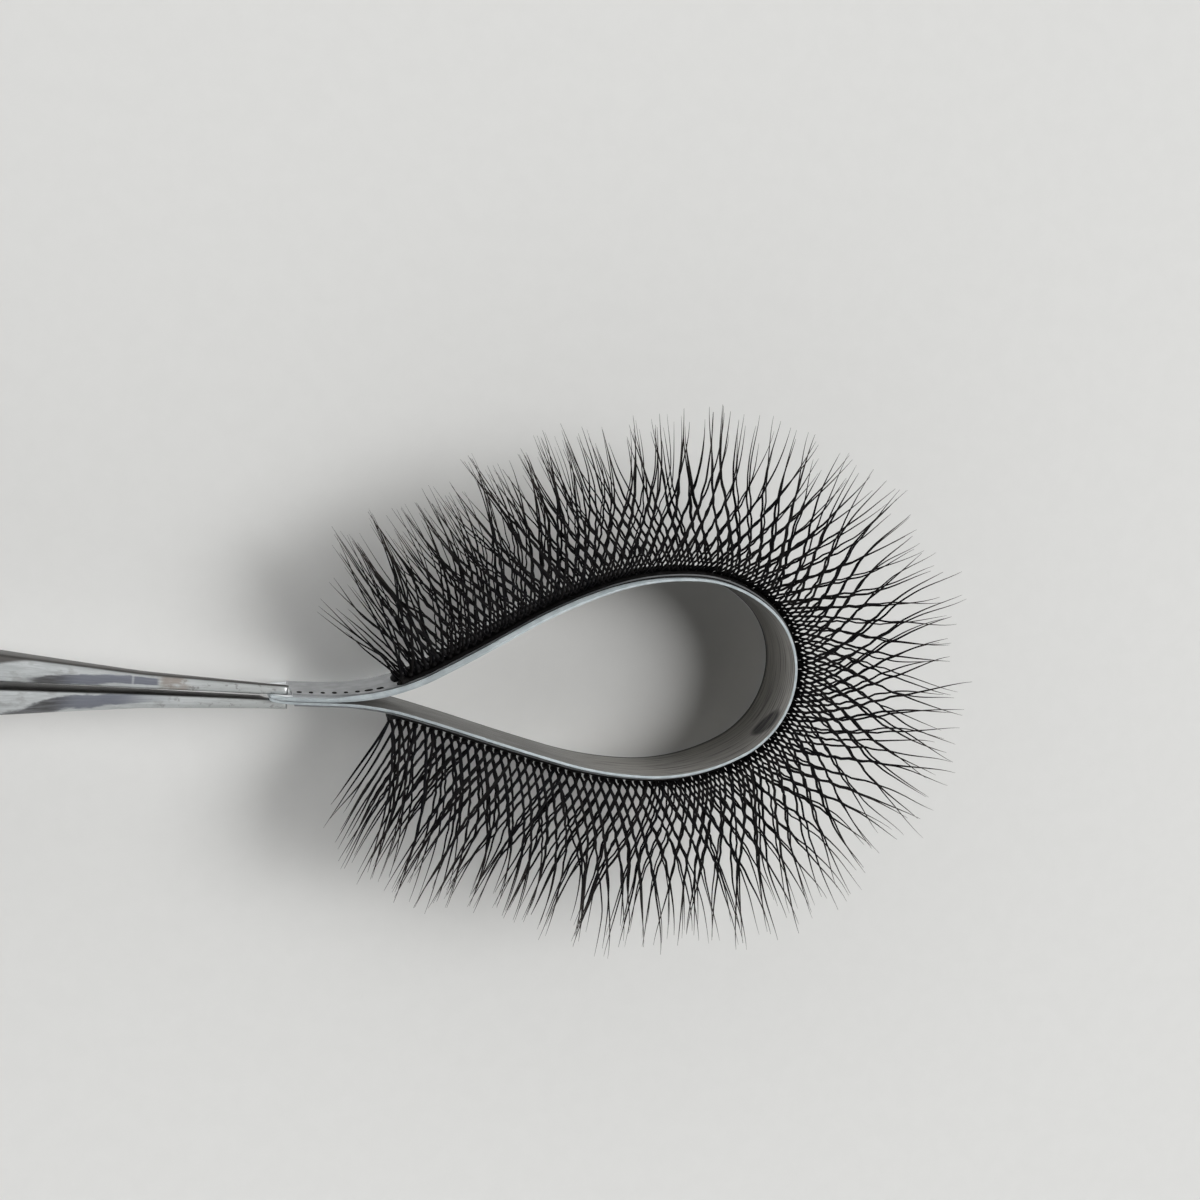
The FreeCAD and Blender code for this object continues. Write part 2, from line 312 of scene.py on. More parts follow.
def make_piece(name, points, faces, finishes, marks, face_finish=None, sharp=None):
    """A mesh object from points in millimetres, with its finishes and its marks."""
    mesh = bpy.data.meshes.new(name)
    mesh.from_pydata((np.asarray(points) * MM).tolist(), [], faces)
    for key, values in marks.items():
        attribute = mesh.attributes.new(key, "FLOAT", "POINT")
        attribute.data.foreach_set("value", np.asarray(values, np.float32))
    for finish in finishes:
        mesh.materials.append(finish.material)
    if face_finish is not None:
        mesh.polygons.foreach_set("material_index", np.asarray(face_finish, np.int32))
    mesh.polygons.foreach_set("use_smooth", np.ones(len(mesh.polygons), bool))
    if sharp is not None:
        mesh.set_sharp_from_angle(angle=math.radians(sharp))
    mesh.update()
    print(name, len(mesh.vertices), "points", len(mesh.polygons), "faces")
    return show(name, mesh)


print("mesh helpers ready")

# %% [markdown]
# ## The line of the loop
# The tape follows the same chain of arcs as the CAD model: through knots that give a place and a heading,
# two arcs join each pair without a corner. Repeating that small rule here keeps every dressed piece exactly
# on its solid. A dense table of the line is then sampled once, so that thousands of lash points can be
# looked up quickly.


# %% Arcs through knots
def span_between(x, y, heading, to_x, to_y):
    chord = math.hypot(to_x - x, to_y - y)
    turn = 2 * math.remainder(math.atan2(to_y - y, to_x - x) - heading, 2 * math.pi)
    curvature = 2 * math.sin(turn / 2) / chord
    if abs(curvature) < 1e-9:
        return (x, y, heading, 0.0, chord)
    return (x, y, heading, curvature, turn / curvature)


def along(span, distance):
    x, y, heading, curvature, _ = span
    turned = heading + curvature * distance
    if curvature == 0.0:
        return x + distance * math.cos(heading), y + distance * math.sin(heading), turned
    right = (math.sin(turned) - math.sin(heading)) / curvature
    ahead = (math.cos(heading) - math.cos(turned)) / curvature
    return x + right, y + ahead, turned


def tangent_arcs(start, finish):
    """Two arcs that leave start and reach finish, each (x, y, heading), without a corner."""
    x0, y0, h0 = start
    x1, y1, h1 = finish
    chord_x, chord_y = x1 - x0, y1 - y0
    reach = chord_x * (math.cos(h0) + math.cos(h1)) + chord_y * (math.sin(h0) + math.sin(h1))
    square = chord_x ** 2 + chord_y ** 2
    bend = 2 * (1 - math.cos(h1 - h0))
    if bend < 1e-9:
        handle = square / (2 * reach)
    else:
        handle = (math.sqrt(reach ** 2 + bend * square) - reach) / bend
    join_x = (x0 + x1 + handle * (math.cos(h0) - math.cos(h1))) / 2
    join_y = (y0 + y1 + handle * (math.sin(h0) - math.sin(h1))) / 2
    first = span_between(x0, y0, h0, join_x, join_y)
    join_heading = along(first, first[4])[2]
    return [first, span_between(join_x, join_y, join_heading, x1, y1)]


def smooth_path(knots):
    path = []
    for start, finish in zip(knots, knots[1:]):
        path += tangent_arcs(start, finish)
    return path


def path_length(path):
    return sum(span[4] for span in path)


def path_at(path, distance):
    for span in path[:-1]:
        if distance <= span[4]:
            return along(span, distance)
        distance -= span[4]
    return along(path[-1], distance)


print("arc rule ready")

# %% Knots of the loop, in millimetres from the jaw end
jaw_x = 108.0
tape_width = 4.0
tape_half = 0.06
tail_y = 0.07
tail_overlap = 0.8
jaw_exit = 0.15
HALF_TURN = -math.pi
loop_knots = [(jaw_exit, tail_y, 0.0),
              (2.6, tail_y + 0.10, math.radians(6.0)),
              (10.0, 3.63, math.radians(33.3)),
              (18.26, 6.58, 0.0),
              (23.40, 2.25, HALF_TURN / 2),
              (16.64, -2.73, HALF_TURN),
              (8.5, -1.20, HALF_TURN + math.radians(-15.3)),
              (2.2, 0.03 - tail_y, HALF_TURN + math.radians(0.6)),
              (jaw_exit, -tail_y, HALF_TURN)]
loop_knots = [(jaw_x + x, y, heading) for x, y, heading in loop_knots]
upper_tail = (jaw_x - tail_overlap, tail_y, 0.0, 0.0, tail_overlap + jaw_exit)
lower_tail = (jaw_x + jaw_exit, -tail_y, -math.pi, 0.0, tail_overlap + jaw_exit)
tape_path = [upper_tail] + smooth_path(loop_knots) + [lower_tail]
tape_length = path_length(tape_path)


def distance_to(knot):
    """How far along the tape a knot of the loop lies."""
    return upper_tail[4] + path_length(smooth_path(loop_knots[:knot + 1]))


upper_leg_distance, crown_distance = distance_to(2), distance_to(3)
belly_distance, lower_leg_distance = distance_to(5), distance_to(6)
print("tape length in mm", round(tape_length, 2))

table_margin = 4.0
table_step = 0.02
table_d = np.arange(-table_margin, tape_length + table_margin, table_step)
table_xyh = np.array([path_at(tape_path, distance) for distance in table_d])


def on_tape(distance, offset, height):
    """Points beside the tape's middle line: offset is outward, height is up from the table."""
    x = np.interp(distance, table_d, table_xyh[:, 0])
    y = np.interp(distance, table_d, table_xyh[:, 1])
    heading = np.interp(distance, table_d, table_xyh[:, 2])
    spread = [x - offset * np.sin(heading), y + offset * np.cos(heading), height + 0.0 * x]
    return np.stack(np.broadcast_arrays(*spread), axis=-1)


print("line table rows", len(table_d))

# %% [markdown]
# ## Carrier tape
# The tape is a stiff silver film, 4 mm wide, standing on its edge. Its cut edge is the bright bluish line
# that draws the whole loop; its inner face is brushed grey with fine lengthwise streaks and a dark smudge
# near the round end. Painted light makes the inner face paler about the round end, and a painted contact
# shadow darkens its foot. A curve with a bevel could give the strip, but a skinned ring with tiny rounded
# corners lets the tail ends be trimmed round and gives each face its own finish.

# %% Finish of the cut edge
dull_until, bright_from = 7.0, 13.0
silver_edge = Finish("silver_edge", metallic=0.0, specular=0.45)
edge_along = silver_edge.mark("along")
edge_spot = silver_edge.grid(edge_along, silver_edge.mark("height"), silver_edge.mark("offset"))
edge_wear = silver_edge.noise(edge_spot, 2.2, 4.0)
edge_worn = edge_wear.between(0.35, 0.68)
edge_fleck = silver_edge.noise(edge_spot, 14.0, 2.0).between(0.62, 0.74)
off_tails = edge_along.within(dull_until, bright_from, tape_length - bright_from, tape_length - dull_until)
loop_tone = silver_edge.mix(edge_worn, (0.40, 0.455, 0.476), (0.51, 0.565, 0.587))
tail_tone = silver_edge.mix(edge_worn, (0.26, 0.293, 0.306), (0.33, 0.365, 0.38))
edge_tone = silver_edge.mix(off_tails, tail_tone, loop_tone)
silver_edge.feed(base_color=silver_edge.mix(edge_fleck * 0.35, edge_tone, (0.29, 0.325, 0.34)),
                 roughness=0.34 + 0.2 * edge_wear,
                 normal=silver_edge.bump(edge_wear, 0.00002, 0.4))
print("edge finish", silver_edge.material.name)

# %% Finish of the brushed inside
smudge_along, smudge_height, smudge_falloff = 30.6, 2.9, 1.6
dark_streak, pale_streak = (0.15, 0.145, 0.135), (0.29, 0.29, 0.285)
brushed_inside = Finish("brushed_inside", metallic=0.8)
inside_along = brushed_inside.mark("along")
inside_height = brushed_inside.mark("height")
streak_spot = brushed_inside.grid(inside_along * 0.35, inside_height * 9.0)
streaks = brushed_inside.noise(streak_spot, 1.0, 5.0, 0.6)
cloud = brushed_inside.noise(brushed_inside.grid(inside_along * 0.5, inside_height * 0.8), 1.0, 3.0)
above_smudge = inside_height - smudge_height
slant = inside_along - smudge_along + above_smudge * 0.5
smudge_reach = slant * slant * smudge_falloff + above_smudge * above_smudge * smudge_falloff
smudge = (1.0 - smudge_reach.between(0.5, 1.3)) * streaks.between(0.36, 0.50)
# painted light: a paler patchy tone on the inner face about the round end and the start of the lower leg
round_end_painted_light = inside_along.within(23.0, 27.0, 37.0, 43.0) * streaks.between(0.30, 0.60)
# painted contact shadow: a near-black line at the foot of the inner face, where it meets the table
painted_contact_shadow = 1.0 - inside_height.between(0.14, 0.30)
inside_tone = brushed_inside.layers(
    brushed_inside.mix(streaks.between(0.30, 0.72), dark_streak, pale_streak),
    (cloud.between(0.45, 0.75) * 0.4, (0.34, 0.34, 0.33)),
    (round_end_painted_light, (0.46, 0.445, 0.42)),
    (painted_contact_shadow * 0.8, (0.03, 0.03, 0.03)),
    (smudge * 0.9, (0.06, 0.06, 0.065)))
brushed_inside.feed(base_color=inside_tone,
                    roughness=0.38 + 0.25 * streaks,
                    normal=brushed_inside.bump(streaks, 0.00004, 0.5))
print("inside finish", brushed_inside.material.name)

# %% Finish of the grey outside
outside_deep, outside_pale = (0.46, 0.48, 0.49), (0.60, 0.62, 0.63)
grey_outside = Finish("grey_outside", specular=0.4)
outside_spot = grey_outside.grid(grey_outside.mark("along"), grey_outside.mark("height"))
outside_wear = grey_outside.noise(outside_spot, 1.6, 4.0)
outside_tone = grey_outside.mix(outside_wear.between(0.35, 0.65), outside_deep, outside_pale)
grey_outside.feed(base_color=outside_tone, roughness=0.42 + 0.2 * outside_wear)
print("outside finish", grey_outside.material.name)


# %% Skin a strip along the tape
def strip(name, distances, section, finishes, sharp=35.0):
    """A strip along the tape. section(distance) gives its corners (offset, height, finish number)."""
    points, marks = [], {"along": [], "height": [], "offset": []}
    for distance in distances:
        offsets, heights, ring_finish = zip(*section(distance))
        points.append(on_tape(np.full(len(offsets), distance), np.array(offsets), np.array(heights)))
        marks["along"] += [distance] * len(offsets)
        marks["height"] += heights
        marks["offset"] += offsets
    faces = skin(len(distances), len(ring_finish))
    face_finish = ring_finish * (len(distances) - 1) + (0, 0)
    return make_piece(name, np.concatenate(points), faces, finishes, marks, face_finish, sharp)


def smooth_step(value, low, high):
    """Goes smoothly from 0 at low to 1 at high."""
    t = np.clip((value - low) / (high - low), 0.0, 1.0)
    return t * t * (3 - 2 * t)


def corner_trim(near, radius):
    """How much a rounded corner takes off a side, this near to the end."""
    if near >= radius:
        return 0.0
    return radius - math.sqrt(max(radius ** 2 - (radius - near) ** 2, 0.0))


print("strip helpers ready")

# %% The tape with its rolled edge
tail_corner = 0.9
edge_round = 0.025
edge_bevel = edge_round * 0.3
lip_width, lip_drop, lip_back = 0.13, 0.12, 0.002
lip_start, lip_full = 2.0, 4.0
lip_fade, lip_end = crown_distance - 6.0, crown_distance + 1.0
bare_rim = 0.42


def lip_at(distance):
    """The cut edge is rolled outward along the upper leg, and not on the rest of the loop."""
    rise = smooth_step(distance, lip_start, lip_full)
    return lip_width * rise * (1.0 - smooth_step(distance, lip_fade, lip_end))


def tape_section(distance):
    low = corner_trim(min(distance, tape_length - distance), tail_corner)
    high = tape_width - low
    inner, outer = -tape_half, tape_half
    lip = outer + lip_at(distance)
    droop = lip_drop * lip_at(distance) / lip_width
    under = high - 2 * edge_round
    return [(inner, high - edge_round, 0), (inner + edge_bevel, high - edge_bevel, 0),
            (inner + edge_round, high, 0), (outer - edge_round, high, 0),
            (lip - edge_bevel, high - edge_bevel - droop, 0), (lip, high - edge_round - droop, 0),
            (lip - lip_back, under - droop, 0), (outer, under - 1.6 * droop, 0),
            (outer, high - bare_rim, 2), (outer, low + edge_round, 0), (outer - edge_round, low, 0),
            (inner + edge_round, low, 0), (inner, low + edge_round, 1)]


station_step = 0.15
tail_stations = tail_corner * (1 - np.cos(np.linspace(0.0, math.pi / 2, 14)))
loop_stations = np.arange(1.0, tape_length - 0.95, station_step)
tape_stations = np.concatenate([tail_stations, loop_stations, tape_length - tail_stations[::-1]])
tape = strip("tape", tape_stations, tape_section, [silver_edge, brushed_inside, grey_outside])
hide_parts("carrier_tape")
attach(tape, "lash_strip")

# %% [markdown]
# ## Adhesive film
# The roots don't sit on the tape itself but on a double-sided film: black adhesive with a pale cover.
# From above that shows as a dark line and then a thin grey one beside the silver edge; along the lash row
# the adhesive's black also paints the shade in the gap beside the tape. Its outer face is clean and grey on
# the bare tail. Along the lashes it is painted near black, as root glue and as painted shade under the lash
# canopy.

# %% Finishes of the film
row_start = tail_overlap + 5.0
row_end = tape_length - tail_overlap - 4.5
row_blur = 0.06


def on_row(finish):
    """1 along the lash row and 0 on the bare tails."""
    place = finish.mark("along")
    return place.within(row_start - row_blur, row_start + row_blur, row_end - row_blur, row_end + row_blur)


bare_adhesive = (0.30, 0.305, 0.31)
dark_adhesive = Finish("dark_adhesive", roughness=0.55, specular=0.10)
adhesive_spot = dark_adhesive.grid(dark_adhesive.mark("along"), dark_adhesive.mark("height"))
adhesive_lumps = dark_adhesive.noise(adhesive_spot, 6.0)
# along the lash row the adhesive is near black: black adhesive, with painted shade of the gap beside the
# tape
adhesive_black_and_shade = dark_adhesive.mix(adhesive_lumps, (0.012, 0.012, 0.013), (0.03, 0.03, 0.03))
dark_adhesive.feed(base_color=dark_adhesive.mix(on_row(dark_adhesive), bare_adhesive, adhesive_black_and_shade),
                   normal=dark_adhesive.bump(adhesive_lumps, 0.00003))

# along the lash row the outer face is painted near black: root glue, with painted shade under the lash
# canopy
film_deep, film_light = (0.185, 0.19, 0.193), (0.25, 0.254, 0.258)
film_glue_and_shade = (0.006, 0.006, 0.007)
pale_film = Finish("pale_film", specular=0.10)
film_spot = pale_film.grid(pale_film.mark("along"), pale_film.mark("height"))
film_cloud = pale_film.noise(film_spot, 1.4, 4.0)
film_clean = pale_film.mix(film_cloud.between(0.35, 0.65), film_deep, film_light)
film_edge = pale_film.mark("height").between(3.50, 3.52)
film_glued_and_shaded = on_row(pale_film) * (1.0 - film_edge)
pale_film.feed(base_color=pale_film.mix(film_glued_and_shaded, film_clean, film_glue_and_shade),
               roughness=0.40 + 0.2 * film_cloud)
print("film finishes", dark_adhesive.material.name, pale_film.material.name)

# %% Strip of the film
film_inner, film_split, film_outer = 0.07, 0.145, 0.21
film_round = 0.01
film_margin = 0.45
film_ends = tail_overlap + 0.15


def film_section(distance):
    low, high = film_margin, tape_width - film_margin
    return [(film_inner, high, 0), (film_split, high, 1), (film_split + film_round, high + film_round, 1),
            (film_outer - film_round, high + film_round, 1), (film_outer, high, 1),
            (film_outer, high - 0.04, 1), (film_outer, low, 0), (film_inner, low, 0)]


film_stations = np.arange(film_ends, tape_length - film_ends, station_step)
film = strip("film", film_stations, film_section, [dark_adhesive, pale_film])
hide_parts("adhesive_film")
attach(film, "lash_strip")

# %% [markdown]
# ## Root band and glue dots
# The lash roots are fused into a lumpy black band of glue along the film, with a thick blob at each end.
# Where lashes have been pulled off the upper tail, a row of small black dots of glue is left. A plain
# extrusion would look machined, so seeded sums of waves make the band uneven, and each dot gets its size.

# %% Finish of the root glue
lump_scale = 5200.0
glue_deep, glue_light = (0.004, 0.004, 0.004), (0.013, 0.012, 0.012)
root_glue = Finish("root_glue", roughness=0.5, specular=0.05)
glue_spot = root_glue.node("ShaderNodeTexCoord", {}, {}, "Object")
glue_lumps = root_glue.noise(glue_spot, lump_scale, 3.0)
root_glue.feed(base_color=root_glue.mix(glue_lumps, glue_deep, glue_light),
               normal=root_glue.bump(glue_lumps, 0.00005, 0.6))
print("glue finish", root_glue.material.name)


# %% Lumpy band with blob ends
def waves(seed, count, shortest, longest):
    """A smooth uneven function of distance, between about -1 and 1."""
    dice = random.Random(seed)
    parts = []
    for _ in range(count):
        rate = 2 * math.pi / dice.uniform(shortest, longest)
        parts.append((rate, dice.uniform(0, 2 * math.pi)))
    return lambda d: sum(math.sin(rate * d + phase) for rate, phase in parts) / count


band_inner, band_outer = 0.22, 0.38
band_low, band_high = 2.15, 3.45
band_sides = 14
end_round, blob_reach = 0.12, 0.55
band_swell = waves(3, 5, 0.5, 2.4)
band_top_wave = waves(5, 4, 0.6, 3.0)
band_low_wave = waves(7, 4, 0.8, 3.0)


def band_section(distance):
    """A rounded lump against the film, which closes in at the ends of the row."""
    from_end = min(distance - row_start, row_end - distance)
    close = 0.35 + 0.65 * min(max(from_end, 0.0) / end_round, 1.0)
    blob = max(0.0, 1.0 - from_end / blob_reach)
    thick = (band_outer - band_inner + 0.05 * band_swell(distance) + 0.20 * blob) * close
    high = band_high + 0.07 * band_top_wave(distance) + 0.26 * blob * close
    low = band_low + 0.12 * band_low_wave(distance) - 0.2 * blob * close
    middle, half = (high + low) / 2, (high - low) / 2 * close
    ring = []
    for step in range(band_sides):
        turn = math.pi * step / (band_sides - 1)
        bulge = abs(math.sin(turn)) ** 0.45
        ring.append((band_inner + thick * bulge, middle + half * math.cos(turn), 0))
    return ring


band_end = 0.6
band_stations = np.concatenate([np.linspace(row_start, row_start + band_end, 16),
                                np.arange(row_start + 0.7, row_end - 0.65, 0.1),
                                np.linspace(row_end - band_end, row_end, 16)])
root_band = strip("root_glue_band", band_stations, band_section, [root_glue], 60.0)
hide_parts("root_band")
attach(root_band, "lash_strip")

# %% Domed dots on the bare tail
knob_rings, knob_sides = 7, 9


def glue_knob(distance, offset, height, wide, deep, tall):
    """Rings of points of a small rounded lump on the tape's outer side."""
    points = []
    for ring in range(knob_rings):
        lift = math.pi * (ring + 0.5) / knob_rings
        for step in range(knob_sides):
            turn = 2 * math.pi * step / knob_sides
            ahead = wide * math.sin(lift) * math.cos(turn)
            out = deep * math.sin(lift) * math.sin(turn)
            points.append(on_tape(distance + ahead, offset + out, height + tall * math.cos(lift)))
    return points


dot_lead, dot_spacing, dot_count = 0.9, 0.52, 8
dot_offset, dot_height = film_outer + 0.02, 3.20
dot_radius, dot_depth = 0.12, 0.04
long_dots, long_stretch = 2, 1.6
end_lobes = ((0.02, 0.36, 2.45, 0.26, 0.20, 0.34), (-0.15, 0.28, 3.48, 0.30, 0.14, 0.10))
dice = random.Random(11)
knobs = []
for number in range(dot_count):
    wide = dot_radius * dice.uniform(0.85, 1.1) * (long_stretch if number < long_dots else 1.0)
    tall = dot_radius * dice.uniform(0.9, 1.4)
    distance = row_start - dot_lead - number * dot_spacing
    knobs.append((distance, dot_offset, dot_height, wide, dot_depth, tall))
for lead, *lobe in end_lobes:
    knobs.append((row_start - lead, *lobe))
dot_points, dot_faces = [], []
for knob in knobs:
    dot_faces += skin(knob_rings, knob_sides, len(dot_points))
    dot_points += glue_knob(*knob)
dots = make_piece("glue_dots", dot_points, dot_faces, [root_glue], {})
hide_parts("residue_dots")
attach(dots, "lash_strip")

# %% [markdown]
# ## Lash fibres
# Each bead of root glue sends fine tapered fibres both ways along the row, so that neighbours cross in a
# net of diamonds. On the upper leg and the round end a bead's strands start half a pitch apart and close
# up further out. The lean is strong at the root and fades outward. Past the middle the fibres draw
# together into clumps, and their tips thin out and split. Hair particles could fill such a row, but their
# crossings can't be placed one by one, so each fibre is a thin mesh tube worked out here.

# %% Which way the lashes point along the row
upper_end_turn, lower_end_turn = -8.0, 5.0


def lash_heading(distance):
    """Square to the legs and the round end, and turned in at the ends of the row."""
    before = np.clip((upper_leg_distance - distance) / (upper_leg_distance - row_start), 0.0, 1.0)
    after = np.clip((distance - lower_leg_distance) / (row_end - lower_leg_distance), 0.0, 1.0)
    turn = 90.0 + upper_end_turn * before + lower_end_turn * after
    steady = np.clip(distance, upper_leg_distance, lower_leg_distance)
    return path_at(tape_path, steady)[2] + math.radians(turn)


table_lash = np.array([lash_heading(distance) for distance in table_d])
table_fan = np.abs(np.gradient(table_lash, table_d))
full_fan = 0.15


def fan_at(distance):
    """How fast the lashes' heading turns here, in radians per millimetre."""
    return float(np.interp(distance, table_d, table_fan))


print("lash heading spans", round(math.degrees(table_lash.max() - table_lash.min())), "degrees")

# %% Side shape of one lash
lash_length = 8.3
fibre_stations = 30
root_elevation, tip_elevation, curl_power = 86.0, 6.0, 5.0
curl_steps = 200
curl_left = 1 - (np.arange(curl_steps) + 0.5) / curl_steps
curl_angle = np.radians(tip_elevation + (root_elevation - tip_elevation) * curl_left ** curl_power)
curl_out = np.concatenate([[0.0], np.cumsum(np.cos(curl_angle))]) / curl_steps
curl_up = np.concatenate([[0.0], np.cumsum(np.sin(curl_angle))]) / curl_steps
fibre_share = np.linspace(0.0, 1.0, fibre_stations)
fibre_out = np.interp(fibre_share * curl_steps, np.arange(curl_steps + 1), curl_out)
fibre_up = np.interp(fibre_share * curl_steps, np.arange(curl_steps + 1), curl_up)
out_share = fibre_out / fibre_out[-1]
print("reach in mm", round(lash_length * fibre_out[-1], 2), "rise", round(lash_length * fibre_up[-1], 2))

# %% Clumps that draw the tips together
lash_pitch = 0.40
clump_margin = 3.0
heavy_fan, heavy_margin = 0.12, 4.0
dice = random.Random(21)
clumps = []
place = row_start - clump_margin
while place < row_end + clump_margin:
    fan = fan_at(place)
    lower = place > belly_distance
    heavy = dice.random() < (0.36 if lower else 0.22) and fan < heavy_fan and place < row_end - heavy_margin
    width = dice.uniform(0.9, 1.4) if heavy else dice.uniform(0.35, 0.65) / (1.0 + 1.5 * fan)
    width *= 1.5 if heavy and lower else 1.0
    firm = 0.95 if heavy else dice.uniform(0.50, 0.88) * max(0.0, 1.0 - 2.4 * fan)
    early = dice.uniform(0.26, 0.38) if heavy else dice.uniform(0.34, 0.50)
    clumps.append((place + width / 2, firm, early, dice.uniform(0.93, 1.05)))
    place += width
clump_places = np.array([clump[0] for clump in clumps])
print("clumps", len(clumps))

# %% The line of one strand
leg_lean, round_lean = 0.43, 0.46
leg_decay, round_decay = 4.0, 3.6
stray_from, stray_full = 2.2, 0.2
upper_stray_slope, lower_stray_slope = 0.34, 0.24
loose_from, loose_full = 3.5, 0.5
calm_from_end = 10.0
lead_end = 2.6
waist = 0.92
pull_span = 0.36
tip_sweep = 0.30
sweep_turn = (crown_distance + belly_distance) / 2


def strand_line(distance, way, ahead, dice):
    """Where one lash runs along the row, and how long it is. It leans one way, strongly at the root, and
    dwells where it crosses its neighbours. Past the middle a clump draws it in and its tip sweeps back.
    A strand that starts ahead of its bead, by a share of the pitch, closes up with the others further out.
    At the ends of the row the strands that lean outward are strays: shorter, and free of the clumps."""
    reach = lash_length * fibre_out
    upper = distance < crown_distance
    fan = fan_at(distance)
    rounded = min(fan / full_fan, 1.0)
    from_end = min(distance - row_start, row_end - distance)
    outward = way < 0 if upper else way > 0
    stray = smooth_step(from_end, stray_from, stray_full) if outward else 0.0
    decay = (leg_decay + (round_decay - leg_decay) * rounded) * dice.uniform(0.96, 1.04)
    decay *= 1.0 + (0.8 if outward else 0.2) * max(0.0, 1.0 - from_end / calm_from_end)
    slope = leg_lean + (round_lean - leg_lean) * rounded
    slope *= 1.0 + dice.uniform(-0.09, 0.09) * (1.0 - 0.6 * rounded)
    slope *= 1.0 if outward else 1.0 - dice.uniform(0.0, 1.6) * smooth_step(from_end, loose_from, loose_full)
    lean = slope * decay * np.tanh(reach / decay)
    free = (upper_stray_slope if upper else lower_stray_slope) * dice.uniform(0.35, 1.0) * reach
    lean = lean * (1.0 - stray) + free * stray
    lead = ahead * lash_pitch * smooth_step(reach, lead_end, 0.4)
    ripple = lash_pitch / (4 * math.pi) * np.sin(4 * math.pi * lean / lash_pitch)
    ripple *= (waist - 0.2 * rounded) * (1.0 - stray) * smooth_step(out_share, 0.75, 0.45)
    line = distance + way * (lean + lead - ripple)
    target, firm, early, reach_share = clumps[int(np.argmin(np.abs(clump_places - line[-1])))]
    reach_share *= 1.0 - 0.08 * math.exp(-((distance - crown_distance) / 5.0) ** 2) + 0.07 * rounded
    reach_share *= 1.0 - dice.uniform(0.22, 0.45) * stray * (1.5 if upper else 1.0)
    pull = firm * smooth_step(out_share, early, early + pull_span) * (1.0 - stray)
    sweep = math.copysign(tip_sweep, distance - sweep_turn) * max(0.0, 1.0 - 6.0 * fan)
    return line + (target - line[-1]) * pull + sweep * out_share ** 3, reach_share


print("strand rule ready")

# %% One tapered fibre
fibre_sides = 5
root_offset, root_height = 0.34, 2.98
low_from, low_full = 14.0, 2.0
fibre_taper = 1.10 - 0.35 * fibre_share - 0.65 * fibre_share ** 3


def fibre(sigma, length, width, lift):
    """Points of one thin tapered tube whose line runs along the row as sigma says."""
    heading = np.interp(sigma, table_d, table_lash)
    wall = on_tape(sigma, root_offset, 0.0)
    x = wall[:, 0] + length * fibre_out * np.cos(heading)
    y = wall[:, 1] + length * fibre_out * np.sin(heading)
    from_end = np.clip(np.minimum(sigma - row_start, row_end - sigma), 0.0, None)
    rise = 1.0 - 0.5 * smooth_step(from_end, low_from, low_full)
    line = np.stack([x, y, root_height + length * fibre_up * rise + lift], axis=-1)
    ahead = np.gradient(line, axis=0)
    ahead /= np.linalg.norm(ahead, axis=1, keepdims=True)
    side = np.stack([-np.sin(heading), np.cos(heading), 0.0 * heading], axis=-1)
    side -= ahead * np.sum(side * ahead, axis=1, keepdims=True)
    side /= np.linalg.norm(side, axis=1, keepdims=True)
    top = np.cross(ahead, side)
    half = width / 2 * fibre_taper
    rings = []
    for corner in range(fibre_sides):
        turn = 2 * math.pi * corner / fibre_sides
        rings.append(line + (side * math.cos(turn) + top * math.sin(turn)) * half[:, None])
    return np.stack(rings, axis=1).reshape(-1, 3)


print("fibre rings", fibre_stations, "of", fibre_sides)

# %% [markdown]
# ## Lash finish
# The fibres are polyester dyed black, with a soft sheen and thinner, browner tips where light comes through.
# A hair shader would suit hair curves. These are mesh tubes, so a rough surface does: its tone follows how
# far out a point lies on its fibre, and a random tint sets each fibre a little apart from the next.

# %% Finish of the lashes
lash_black = Finish("lash_black", specular=0.04)
lash_tint = lash_black.mark("tint")
toward_tip = lash_black.mark("share").between(0.6, 1.0)
lash_root_tone = lash_black.mix(lash_tint, (0.004, 0.004, 0.005), (0.010, 0.009, 0.009))
lash_black.feed(base_color=lash_black.mix(toward_tip, lash_root_tone, (0.040, 0.034, 0.031)),
                roughness=0.55 + 0.15 * lash_tint)
print("lash finish", lash_black.material.name)


# %% Gather many tubes into one mesh
class Bundle:
    """Points, faces and marks of many tubes, for one piece."""

    def __init__(self):
        self.points, self.faces, self.face_finish = [], [], []
        self.shares, self.tints = [], []

    def add(self, points, rings, sides, finish, shares, tint):
        self.faces += skin(rings, sides, len(self.shares))
        self.face_finish += [finish] * ((rings - 1) * sides + 2)
        self.points.append(points)
        self.shares += list(shares)
        self.tints += [tint] * len(points)


print("bundle helper ready")

# %% Rows of lashes, section by section
fibre_width = 0.130
strands = ((1.0, 0.0, 0.0), (0.85, 0.12, 0.5), (0.7, 0.45, 0.0))  # thickness, tip split, lead
dense_end = upper_leg_distance + 6.0
bead_size = (0.15, 0.17, 0.30)
bead_offset, bead_height = 0.46, 3.10
split_ramp = smooth_step(out_share, 0.25, 0.7)
tip_ramp = smooth_step(out_share, 0.6, 1.0)


